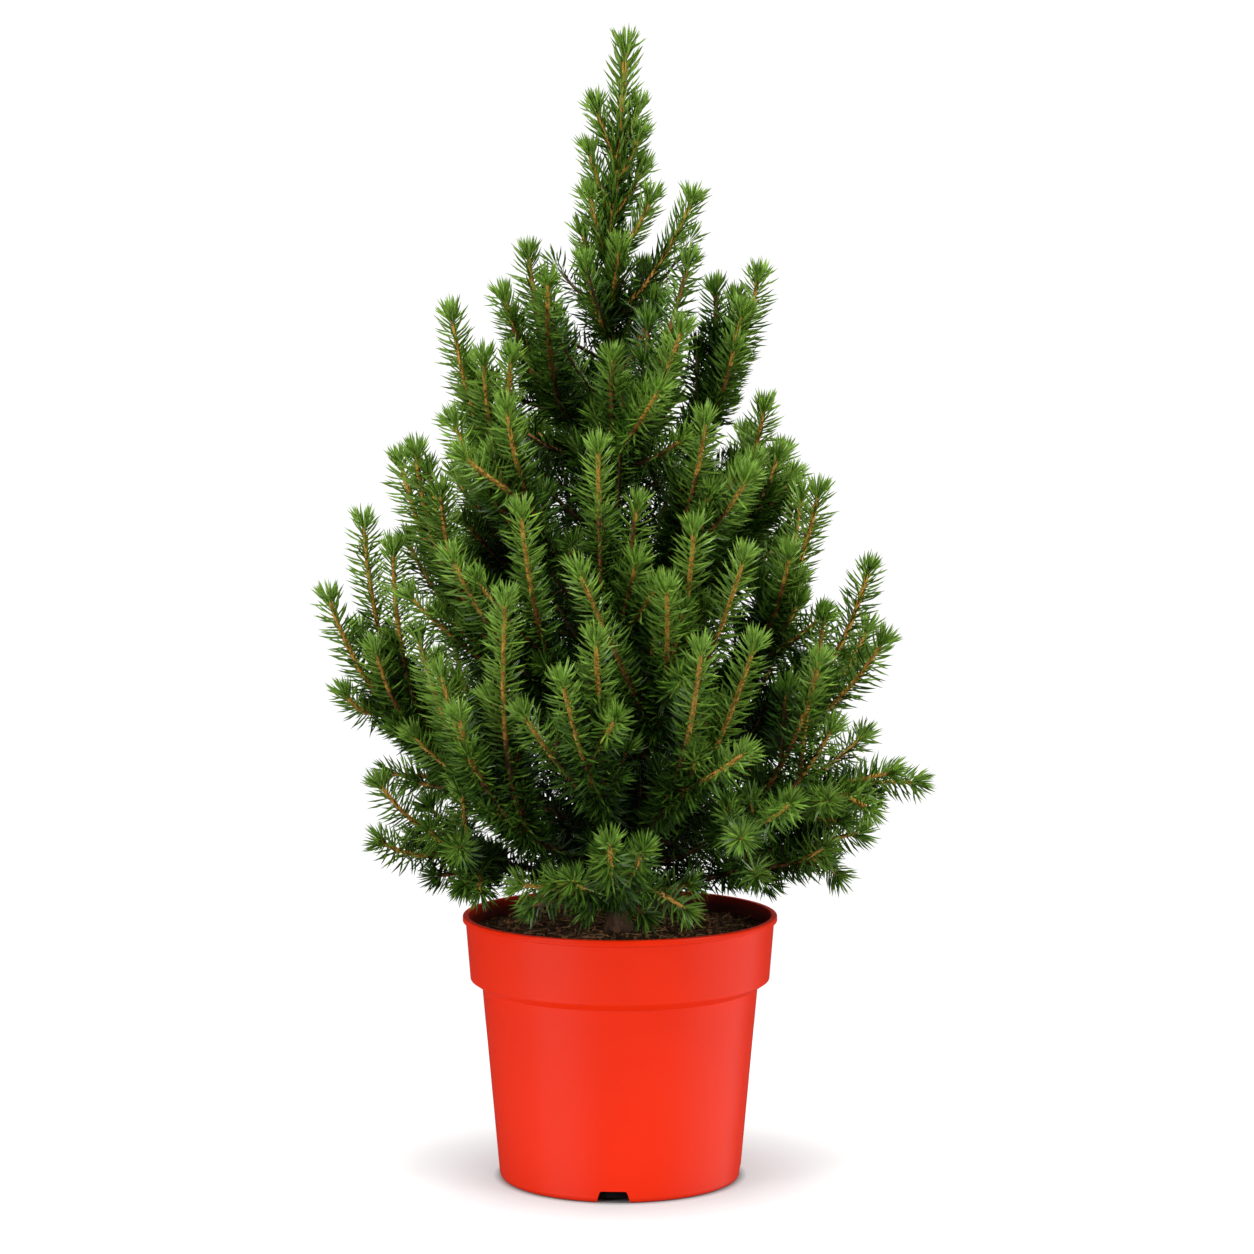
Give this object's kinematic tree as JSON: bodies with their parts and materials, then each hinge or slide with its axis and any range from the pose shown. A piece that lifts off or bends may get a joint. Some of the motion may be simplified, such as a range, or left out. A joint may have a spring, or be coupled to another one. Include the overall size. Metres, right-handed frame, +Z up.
{
  "type": "potted dwarf alberta spruce",
  "caption": "Young conical dwarf spruce with soft upturned needle shoots, growing in a round tapered plastic nursery pot filled with dark compost.",
  "frame": {"origin": "centre of the pot's flat underside", "axes": "+Z up along the pot's axis, -Y towards the front of the plant, +X to the right as seen from the front"},
  "size_m": [0.3324, 0.3029, 0.6125],
  "materials": {
    "pot_plastic": "satin",
    "compost": "rough, crumbly and matt",
    "bark": "finely ridged and matt",
    "needles": "waxy needles, satin"
  },
  "bodies": {
    "root": {"pot": "pot_plastic", "soil": "compost", "trunk": "bark", "bough_crown_front": "bark", "bough_crown_left": "bark", "bough_crown_right": "bark", "bough_left_high": "bark", "bough_front_left_high": "bark", "bough_right_high": "bark", "bough_front_right_high": "bark", "bough_left_mid": "bark", "bough_front_mid": "bark", "bough_front_left_mid": "bark", "bough_right_mid": "bark", "bough_front_right_mid": "bark", "bough_left_low": "bark", "bough_right_low": "bark", "bough_front_left_low": "bark", "bough_front_low": "bark", "bough_front_right_low": "bark", "bough_skirt_front_right": "bark", "bough_skirt_right": "bark", "bough_skirt_front": "bark", "bough_skirt_left": "bark", "bough_skirt_low": "bark", "bough_back_high": "bark", "bough_back_left_mid": "bark", "bough_back_right_mid": "bark", "bough_back_mid": "bark", "bough_back_left_low": "bark", "bough_back_right_low": "bark", "foliage_crown_front": "needles", "foliage_crown_left": "needles", "foliage_crown_right": "needles", "foliage_left_high": "needles", "foliage_front_left_high": "needles", "foliage_right_high": "needles", "foliage_front_right_high": "needles", "foliage_left_mid": "needles", "foliage_front_mid": "needles", "foliage_front_left_mid": "needles", "foliage_right_mid": "needles", "foliage_front_right_mid": "needles", "foliage_left_low": "needles", "foliage_right_low": "needles", "foliage_front_left_low": "needles", "foliage_front_low": "needles", "foliage_front_right_low": "needles", "foliage_skirt_front_right": "needles", "foliage_skirt_right": "needles", "foliage_skirt_front": "needles", "foliage_skirt_left": "needles", "foliage_skirt_low": "needles", "foliage_back_high": "needles", "foliage_back_left_mid": "needles", "foliage_back_right_mid": "needles", "foliage_back_mid": "needles", "foliage_back_left_low": "needles", "foliage_back_right_low": "needles", "foliage_leader": "needles"}
  },
  "joints": []
}
